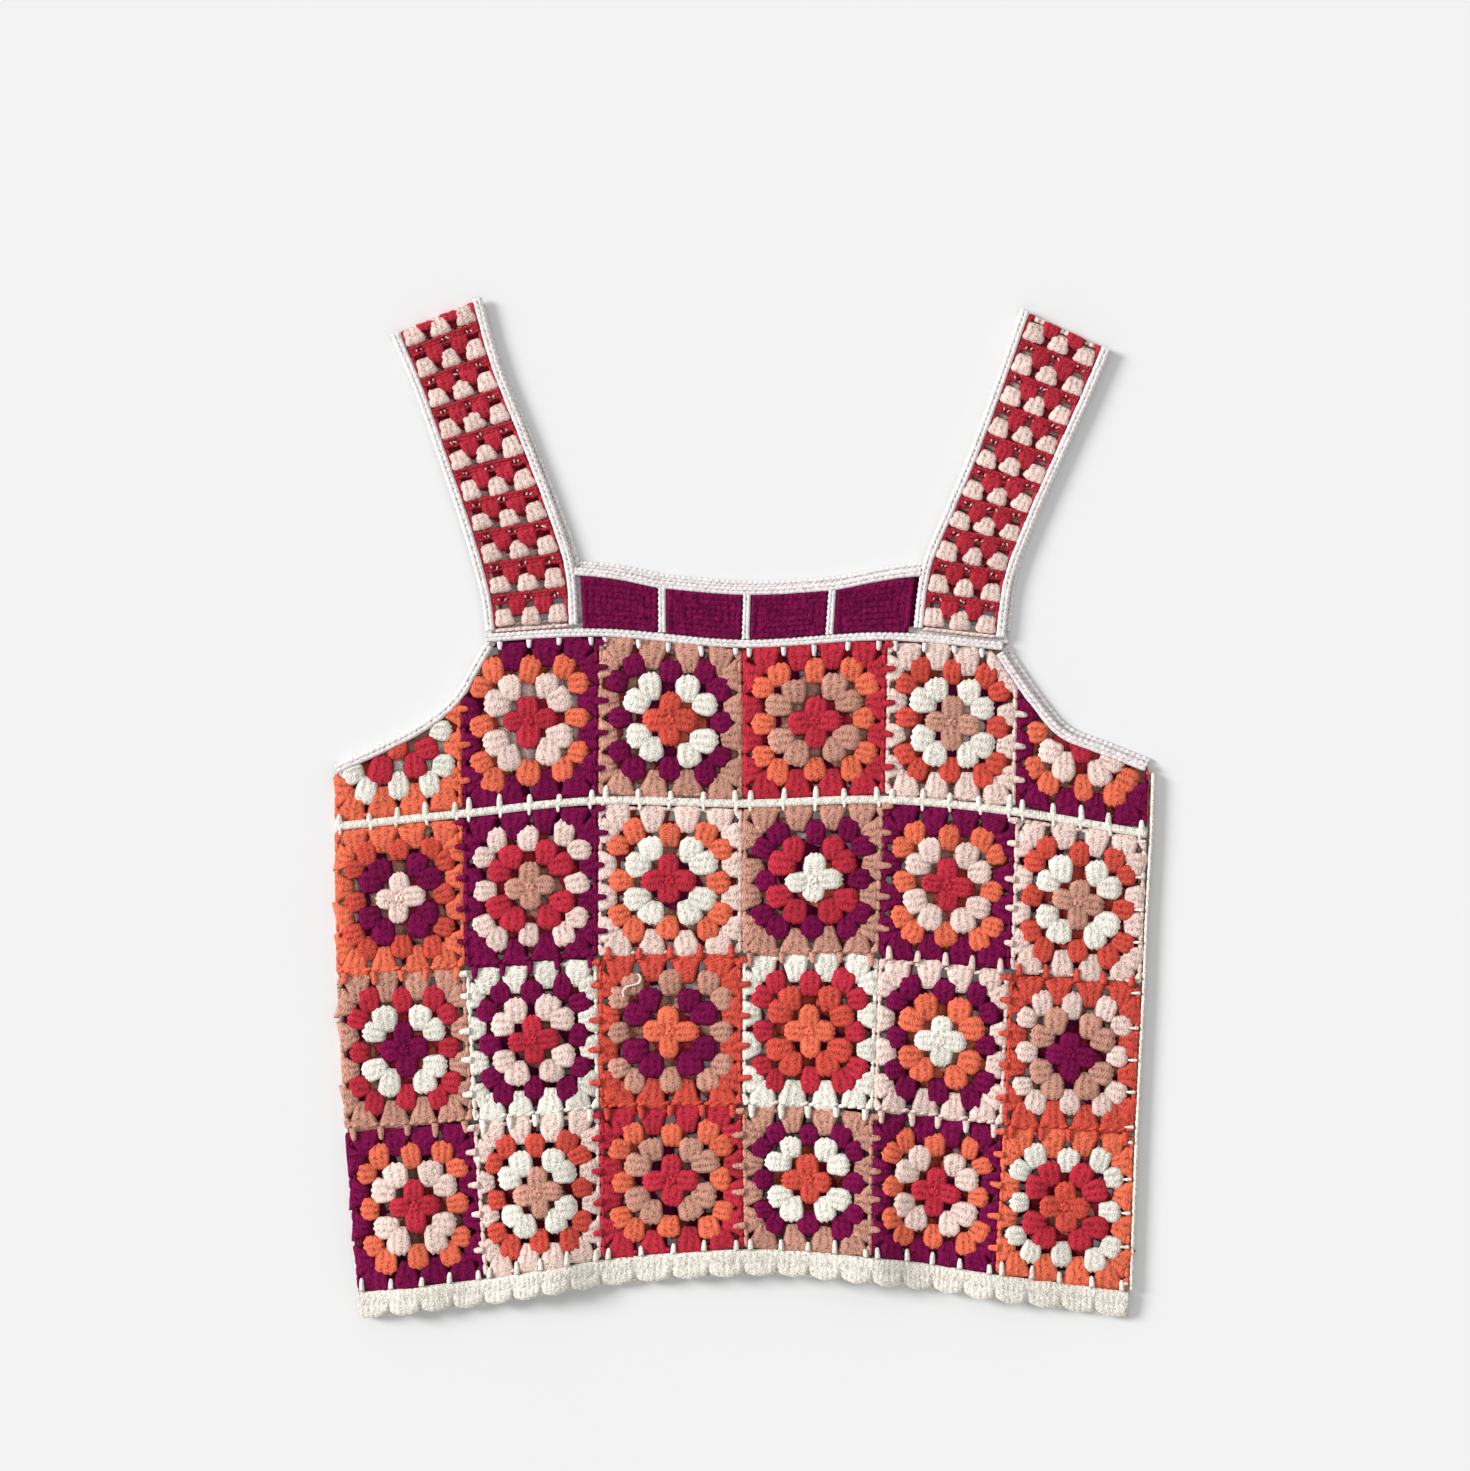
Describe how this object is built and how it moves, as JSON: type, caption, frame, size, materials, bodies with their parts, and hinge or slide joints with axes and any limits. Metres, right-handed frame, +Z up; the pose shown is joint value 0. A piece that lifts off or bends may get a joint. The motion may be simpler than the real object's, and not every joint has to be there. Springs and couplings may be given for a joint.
{
  "type": "crochet top",
  "caption": "Sleeveless crochet top of joined granny squares, with wide striped shoulder straps and a scalloped hem, laid flat with one panel on the other.",
  "frame": {"origin": "on the surface it lies on, under the middle of the laid garment's outline", "axes": "+Y from the hem to the shoulders, +Z up from the surface through both panels, +X to the right as seen from above"},
  "size_m": [0.4439, 0.5529, 0.0136],
  "materials": {
    "plum_yarn": "matte",
    "crimson_yarn": "matte",
    "brick_yarn": "matte",
    "orange_yarn": "matte",
    "pink_yarn": "matte",
    "tan_yarn": "matte",
    "cream_yarn": "matte"
  },
  "bodies": {
    "root": {"front_square_a1": "orange_yarn", "front_square_a2": "plum_yarn", "front_square_a3": "tan_yarn", "front_square_a4": "crimson_yarn", "front_square_a5": "pink_yarn", "front_square_a6": "plum_yarn", "front_square_b1": "orange_yarn", "front_square_b2": "plum_yarn", "front_square_b3": "pink_yarn", "front_square_b4": "tan_yarn", "front_square_b5": "plum_yarn", "front_square_b6": "pink_yarn", "front_square_c1": "tan_yarn", "front_square_c2": "cream_yarn", "front_square_c3": "brick_yarn", "front_square_c4": "cream_yarn", "front_square_c5": "pink_yarn", "front_square_c6": "brick_yarn", "front_square_d1": "plum_yarn", "front_square_d2": "pink_yarn", "front_square_d3": "crimson_yarn", "front_square_d4": "tan_yarn", "front_square_d5": "plum_yarn", "front_square_d6": "orange_yarn", "back_row_a": "orange_yarn", "back_row_b": "plum_yarn", "back_row_c": "orange_yarn", "back_row_d": "plum_yarn", "yoke_plum_1": "plum_yarn", "yoke_plum_2": "plum_yarn", "yoke_plum_3": "plum_yarn", "yoke_plum_4": "plum_yarn", "yoke_frame_front": "cream_yarn", "yoke_back": "plum_yarn", "yoke_seam_front": "cream_yarn", "yoke_seam_back": "cream_yarn", "strap_left_front": "crimson_yarn", "strap_left_back": "crimson_yarn", "strap_right_front": "crimson_yarn", "strap_right_back": "crimson_yarn", "strap_left_front_edging_outer": "cream_yarn", "strap_left_front_edging_inner": "cream_yarn", "strap_left_back_edging_outer": "cream_yarn", "strap_left_back_edging_inner": "cream_yarn", "strap_right_front_edging_outer": "cream_yarn", "strap_right_front_edging_inner": "cream_yarn", "strap_right_back_edging_outer": "cream_yarn", "strap_right_back_edging_inner": "cream_yarn", "armhole_left_front": "cream_yarn", "armhole_left_back": "cream_yarn", "armhole_right_front": "cream_yarn", "armhole_right_back": "cream_yarn", "waist_cord_front": "cream_yarn", "waist_cord_back": "cream_yarn", "side_seam_left": "cream_yarn", "side_seam_right": "cream_yarn", "hem_front": "cream_yarn", "hem_back": "cream_yarn"}
  },
  "joints": []
}
